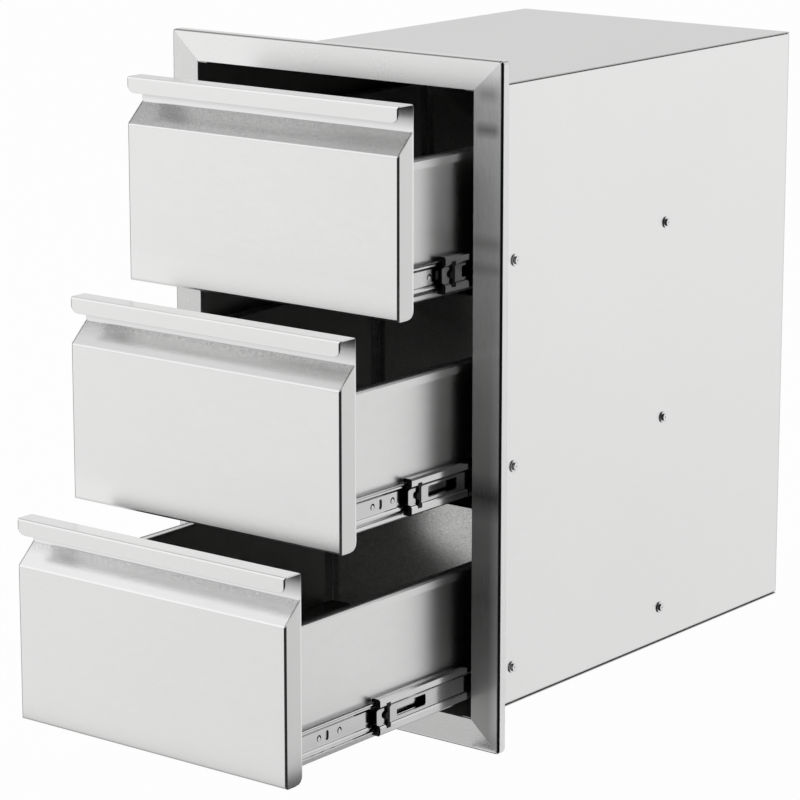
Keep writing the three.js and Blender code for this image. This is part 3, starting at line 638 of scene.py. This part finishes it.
# painted shade: the inner faces of the drawer walls, toned darker on a duller finish
innerShade = {"skin": (-0.0006, 0.0004), "look": {"tone": (0.48, 0.48, 0.475), "dull": 0.3}}
screwWell = {  # the shaded wall round a screw, seen through the wide hole of the inner rail
    "skin": (-0.001, 0.001), "look": {"width": 0.005, "strength": 3.0, "tone": (0.02, 0.02, 0.02)},
}
slideCentres = {"lower": 0.0589, "centre": 0.259233, "upper": 0.459567}
boxScrewDepths = {"lower": (-0.2270, -0.1975), "centre": (-0.1484, -0.1189), "upper": (-0.0644, -0.0349)}


def frontTints(level, low, high):
    face = span(low[1], (0, sheet))
    foot, top = high[2] - front["inclineFoot"], high[2] - front["inclineTop"]
    riser = span(low[1] + front["riser"], front["riserSkin"])
    glow = {"tone": bright, "strength": front["inclineGlow"][level]}
    shade = {
        **front["inclineShade"],
        "strength": front["inclineDepth"][level], "width": front["inclineReach"][level],
    }
    tints = [
        mask("y", front["lipLine"], (low[0], high[0]), face, (high[2] - front["lip"], far)),
        mask("y", front["footShade"], y=face, z=(low[2], far)),
        wholeOf("z", (foot, top), glow),
        wholeOf("z", span(high[2], front["gripSkin"]), glow),
        # painted light: the back of the lip toned white
        wholeOf("y", span(low[1], front["lipBackSkin"]), {"tone": bright}),
        mask("y", shade, y=span(low[1], front["inclineSkin"]), z=(-far, top)),
        # painted shade: the side flanges toned darker
        wholeOf("x", span(high[0], front["flangeSkin"]), front["flange"]),
        # painted shade: the riser set to a plain tone for each drawer, a little darker on the centre one
        wholeOf("y", riser, {"tone": [front["riserTone"][level]] * 3}),
        mask("y", front["riserShade"], y=riser, z=(-far, high[2])),
    ]
    for fold in (high[2], foot):
        tints.append(mask("y", front["foldShade"], y=span(low[1], front["foldSkin"]), z=(-far, fold)))
    return tints


def boxTints(level):
    wall = (-upright["boxOutside"], upright["boxOutside"])
    height = span(slideCentres[level], screwWell["skin"])
    innerShades = [
        wholeOf("x", span(sign * upright["boxInside"], innerShade["skin"]), innerShade["look"])
        for sign in sides.values()
    ]
    return innerShades + [
        mask("x", screwWell["look"], wall, span(depth, screwWell["skin"]), height)
        for depth in boxScrewDepths[level]
    ]


for level in levels:
    low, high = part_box(level + "_drawer_front")
    steel = {**brushedSteel, "tints": frontTints(level, low, high)}
    if level != "lower":
        steel["swell"] = mask("y", front["footSwell"], y=span(low[1], (0, sheet)), z=(low[2], far))
    dress(steelMaterial(level + "FrontSteel", steel), level + "_drawer_front")
    box = steelMaterial(level + "BoxSteel", {**boxSteel, "tints": boxTints(level)})
    dress(box, level + "_drawer_inner_front", level + "_drawer_tray")
    dress(steelMaterial(level + "BoxBackSteel", boxBackSteel), level + "_drawer_back")

# cabinet, with a fine dark line along the edges of its sheets, and painted shade on their inner faces
sideLine = {"width": 0.0013, "strength": 0.62}
coverLine = {"width": 0.0010, "strength": 0.55}
backLine = {"width": 0.0012, "strength": 0.8}
cabinetSheets = {
    "left_side": ("leftShellSteel", shellSteel, "x", sideLine, -upright["cabinetInside"]),
    "right_side": ("rightShellSteel", shellSteel, "x", sideLine, upright["cabinetInside"]),
    "top": ("topCoverSteel", coverSteel, "z", coverLine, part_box("cabinet_top")[0][2]),
    "bottom": ("bottomCoverSteel", coverSteel, "z", coverLine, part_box("cabinet_bottom")[1][2]),
    "back": ("backSteel", shellSteel, "y", backLine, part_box("cabinet_back")[1][1] - sheet),
}
for part, (name, steel, faces, line, inner) in cabinetSheets.items():
    tints = [outlineOf("cabinet_" + part, faces, line), innerShadeOf(faces, inner)]
    dress(steelMaterial(name, {**steel, "tints": tints}), "cabinet_" + part)

# slides, with the flat web between a rail's bands a little darker
webTones = {"innerWeb": (0.58, 0.58, 0.58), "middleWeb": (0.54, 0.54, 0.54)}
webTints = [
    wholeOf("x", span(sign * upright[web], skin), {"tone": tone})
    for web, tone in webTones.items() for sign in sides.values()
]
zinc = steelMaterial("zincPlate", {**zincSteel, "tints": webTints})
cage = steelMaterial("oiledStrip", cageSteel)
plastic = plasticMaterial("blackGuide", guidePlastic)
for level in levels:
    for side in sides:
        stem = f"{level}_{side}_"
        dress(zinc, stem + "outer_rail", stem + "middle_rail", stem + "inner_rail")
        dress(cage, stem + "outer_ball_cage", stem + "inner_ball_cage")
        dress(plastic, stem + "front_guide")
print("CAD nodes dressed")

# screw heads: cylinders that are inset, drawn up and crowned, with a cross cut into the crown
screwMake = {  # alike for both kinds; the turns let the crosses stand every which way
    "sides": 40, "softenSteps": 2, "softenAngle": 0.6, "slotTaper": 0.5, "smoothAngle": 0.55,
    "firstTurn": 0.7, "turnStep": 0.9,
}


def editMesh(piece, wanted, *steps):
    # runs edit-mode steps on the faces that are wanted
    bpy.context.view_layer.objects.active = piece
    bpy.ops.object.mode_set(mode="EDIT")
    bpy.ops.mesh.select_mode(type="FACE")
    bpy.ops.object.mode_set(mode="OBJECT")
    for part in (*piece.data.vertices, *piece.data.edges):
        part.select = False
    for face in piece.data.polygons:
        face.select = wanted(face)
    bpy.ops.object.mode_set(mode="EDIT")
    for step in steps:
        step()
    bpy.ops.object.mode_set(mode="OBJECT")


def applyAll(piece):
    bpy.context.view_layer.objects.active = piece
    for modifier in list(piece.modifiers):
        bpy.ops.object.modifier_apply(modifier=modifier.name)


def insetBy(thickness):
    bpy.ops.mesh.inset(thickness=thickness, use_even_offset=False)


def extrudeBy(rise, scale=1.0):
    bpy.ops.mesh.extrude_region_move(TRANSFORM_OT_translate={"value": (0, 0, rise)})
    if scale != 1.0:
        bpy.ops.transform.resize(value=(scale, scale, 1))


def facesUp(face):
    return face.normal.z > 0.9


def facesDown(face):
    return face.normal.z < -0.9


def combine(piece, other, name, operation):
    # takes the other piece in or cuts it out, and removes it
    join = piece.modifiers.new(name, "BOOLEAN")
    join.operation, join.solver, join.object = operation, "EXACT", other
    applyAll(piece)
    bpy.data.objects.remove(other)


def makeCross(name, s, top):
    # two tapered blades through one another
    blades = []
    for turn in (0, math.pi / 2):
        bpy.ops.object.select_all(action="DESELECT")
        bpy.ops.mesh.primitive_cube_add(size=1, location=(0, 0, top), rotation=(0, 0, turn))
        blade = bpy.context.object
        blade.scale = (s["slotLength"], s["slotWidth"], s["slotDepth"] * 2)
        bpy.ops.object.transform_apply()
        taper = (screwMake["slotTaper"], screwMake["slotTaper"], 1)
        editMesh(blade, facesDown, lambda: bpy.ops.transform.resize(value=taper))
        blades.append(blade)
    combine(blades[0], blades[1], "join", "UNION")
    blades[0].name = name
    return blades[0]


def makeScrewHead(name, s):
    bpy.ops.object.select_all(action="DESELECT")
    bpy.ops.mesh.primitive_cylinder_add(
        vertices=screwMake["sides"], radius=s["baseRadius"], depth=s["baseRise"],
        location=(0, 0, s["baseRise"] / 2),
    )
    head = bpy.context.object
    head.name = name
    bpy.ops.object.transform_apply(location=True)
    raised = [lambda: insetBy(s["baseRadius"] - s["crownRadius"])]
    for rise, scale in s["crown"]:
        raised.append(lambda rise=rise, scale=scale: extrudeBy(rise, scale))
    editMesh(head, facesUp, *raised)
    editMesh(
        head, lambda face: facesDown(face) and face.area > s["baseRadius"] ** 2,
        lambda: insetBy(s["baseRadius"] - s["shankRadius"]),
        lambda: extrudeBy(-s["shankReach"]),
    )
    soften = head.modifiers.new("soften", "BEVEL")
    soften.width, soften.segments = s["soften"], screwMake["softenSteps"]
    soften.limit_method, soften.angle_limit = "ANGLE", screwMake["softenAngle"]
    top = s["baseRise"] + sum(rise for rise, scale in s["crown"])
    combine(head, makeCross(name + "Cross", s, top), "recess", "DIFFERENCE")
    return head


def placeCopies(master, material, places):
    # every copy has a mesh of its own, turned to face out of its side and set down in place
    for number, (name, body, side, spot) in enumerate(places):
        copy = master.copy()
        copy.data = master.data.copy()
        copy.name = copy.data.name = name
        bpy.context.collection.objects.link(copy)
        spin = Matrix.Rotation(screwMake["firstTurn"] + screwMake["turnStep"] * number, 4, "Z")
        face = Matrix.Rotation(math.pi / 2 * sides[side], 4, "Y")
        copy.data.transform(Matrix.Translation(spot) @ face @ spin)
        copy.data.materials.clear()
        copy.data.materials.append(material)
        bpy.ops.object.select_all(action="DESELECT")
        copy.select_set(True)
        bpy.context.view_layer.objects.active = copy
        bpy.ops.object.shade_smooth_by_angle(angle=screwMake["smoothAngle"])
        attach(copy, body)
    bpy.data.objects.remove(master)


screwLook = {
    "grain": "x", "grainAlong": 500, "grainAcross": 500, "coarse": 0.4,
    "dark": (0.70, 0.70, 0.70), "light": (0.82, 0.82, 0.82),
    "cloudSize": 300, "cloudTint": 0.2,
    "roughness": 0.16, "roughLines": 0.02, "roughClouds": 0.03,
    "anisotropy": 0.0, "bump": 0.05, "bumpDepth": 0.00002,
}
slideScrew = {  # through the cabinet side, a flanged head
    "baseRadius": 0.0060, "baseRise": 0.0012, "crownRadius": 0.0040,
    "crown": [(0.0010, 1.0), (0.0005, 0.93), (0.0002, 0.88)],
    "shankRadius": 0.0021, "shankReach": 0.0009, "soften": 0.0002,
    "slotLength": 0.0026, "slotWidth": 0.0009, "slotDepth": 0.0012,
}
boxScrew = {  # in the drawer's wall, a low pan head sunk in the inner rail's wide hole
    "baseRadius": 0.0025, "baseRise": 0.0011, "crownRadius": 0.0023,
    "crown": [(0.0005, 0.9), (0.0002, 0.84)],
    "shankRadius": 0.0016, "shankReach": 0.0002, "soften": 0.00012,
    "slotLength": 0.0016, "slotWidth": 0.0005, "slotDepth": 0.0007,
}
slideScrewDepths = (0.053, 0.309)
boxScrewShift = (-0.0006, -0.0006)  # the heads sit low and forward in their wide holes
slidePlaces, boxPlaces = [], []
for level, height in slideCentres.items():
    for side, sign in sides.items():
        for number, depth in enumerate(slideScrewDepths):
            spot = (sign * upright["slideScrew"], depth, height)
            slidePlaces.append((f"{level}{side.title()}SlideScrew{number + 1}", "cabinet", side, spot))
        for number, depth in enumerate(boxScrewDepths[level]):
            spot = (sign * upright["boxScrew"], depth + boxScrewShift[0], height + boxScrewShift[1])
            boxPlaces.append((f"{level}{side.title()}BoxScrew{number + 1}", level + "_drawer", side, spot))
screwSteel = steelMaterial("screwSteel", screwLook)
# painted light: a lighter copy of the screw steel, less of a mirror, so the box screws' heads show white
boxScrewSteel = steelMaterial("boxScrewSteel", {**screwLook, "light": (0.98, 0.98, 0.98), "metallic": 0.7})
placeCopies(makeScrewHead("slideScrew", slideScrew), screwSteel, slidePlaces)
placeCopies(makeScrewHead("boxScrew", boxScrew), boxScrewSteel, boxPlaces)
print("screws set")

# dressed welds in the mitres of the face frame
mitre = {
    "width": 0.0007, "recess": 0.00005, "thick": 0.0008, "endInset": 0.0014, "innerShare": 0.25,
    "cuts": 24, "ripple": 0.00003, "rippleSize": 0.003, "smoothAngle": 0.6,
}
weldSteel = steelMaterial("weldSteel", {
    **brushedSteel, "grainAlong": 900, "dark": (0.92, 0.92, 0.92), "light": (1, 1, 1),
    "roughness": 0.34, "anisotropy": 0.0, "metallic": 0.4,
})


def makeMitreWeld(name, m, f, side, end):
    outer = Vector((sides[side] * f["half"], f["high"] if end == "top" else f["low"]))
    rail = -f["rail"] if end == "top" else f["rail"]
    inner = outer + Vector((-sides[side] * f["stile"], rail))
    along = (inner - outer).normalized()
    start, finish = outer + along * m["endInset"], inner - along * m["endInset"] * m["innerShare"]
    middle = (start + finish) / 2
    bpy.ops.object.select_all(action="DESELECT")
    bpy.ops.mesh.primitive_cube_add(size=1)
    weld = bpy.context.object
    weld.name = name
    weld.scale = ((finish - start).length, m["thick"], m["width"])
    bpy.ops.object.transform_apply()
    editMesh(
        weld, lambda face: True,
        lambda: bpy.ops.mesh.bisect(plane_co=(0, 0, 0), plane_no=(1, 0, 0)),
        lambda: bpy.ops.mesh.select_all(action="SELECT"),
        lambda: bpy.ops.mesh.subdivide(number_cuts=m["cuts"]),
    )
    ripples = bpy.data.textures.new(name + "Ripples", "CLOUDS")
    ripples.noise_scale = m["rippleSize"]
    wave = weld.modifiers.new("ripple", "DISPLACE")
    wave.texture, wave.strength, wave.direction = ripples, m["ripple"], "Y"
    applyAll(weld)
    bpy.data.textures.remove(ripples)
    turn = Matrix.Rotation(-math.atan2(along.y, along.x), 4, "Y")
    depth = f["face"] + m["recess"] + m["thick"] / 2
    weld.data.transform(Matrix.Translation((middle.x, depth, middle.y)) @ turn)
    weld.data.materials.append(weldSteel)
    bpy.ops.object.shade_smooth_by_angle(angle=m["smoothAngle"])
    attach(weld, "cabinet")


for side in sides:
    for end in ("bottom", "top"):
        makeMitreWeld(f"{side}{end.title()}MitreWeld", mitre, frameFace, side, end)
print("mitre welds set")
